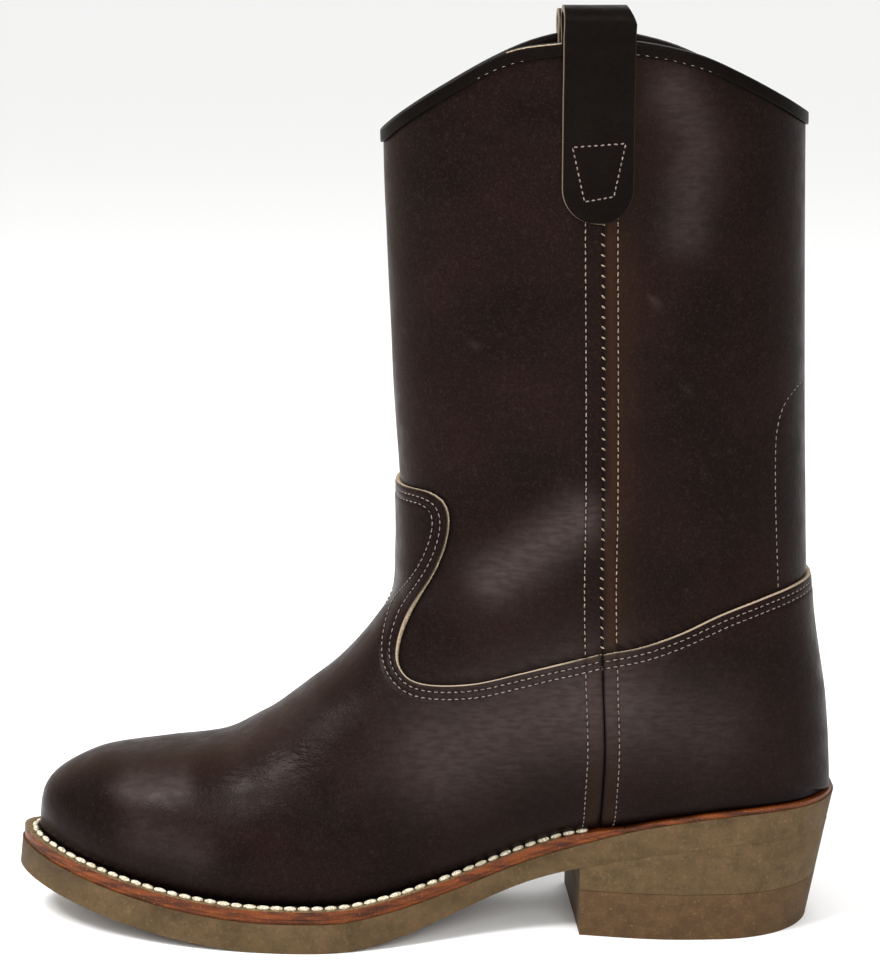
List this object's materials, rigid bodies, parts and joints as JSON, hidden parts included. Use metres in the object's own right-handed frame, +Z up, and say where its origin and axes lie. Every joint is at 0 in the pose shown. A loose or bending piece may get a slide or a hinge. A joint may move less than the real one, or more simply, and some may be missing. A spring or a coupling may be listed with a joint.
{
  "type": "pull-on leather work boot",
  "caption": "Left pull-on leather boot with a tall shaft open at the top, pull straps, stitched welt, crepe sole and stacked heel.",
  "frame": {"origin": "centre of the part's box on the floor that it stands on", "axes": "toe towards -X, heel towards +X, inner ankle towards +Y, outer ankle towards -Y, +Z up the shaft"},
  "size_m": [0.312, 0.1056, 0.3477],
  "materials": {
    "upper_leather": "waxed, soft sheen",
    "strap_leather": "satin",
    "welt_leather": "burnished edge",
    "insole_leather": "matt",
    "crepe": "matt, mottled",
    "toplift": "matt"
  },
  "bodies": {
    "root": {"outsole": "crepe", "midsole": "welt_leather", "welt": "welt_leather", "insole": "insole_leather", "heel_toplift": "toplift", "heel_lift": "crepe", "upper": "upper_leather", "vamp": "upper_leather", "counter": "upper_leather", "collar_binding": "strap_leather", "pull_strap_outer": "strap_leather", "pull_strap_inner": "strap_leather"}
  },
  "joints": []
}
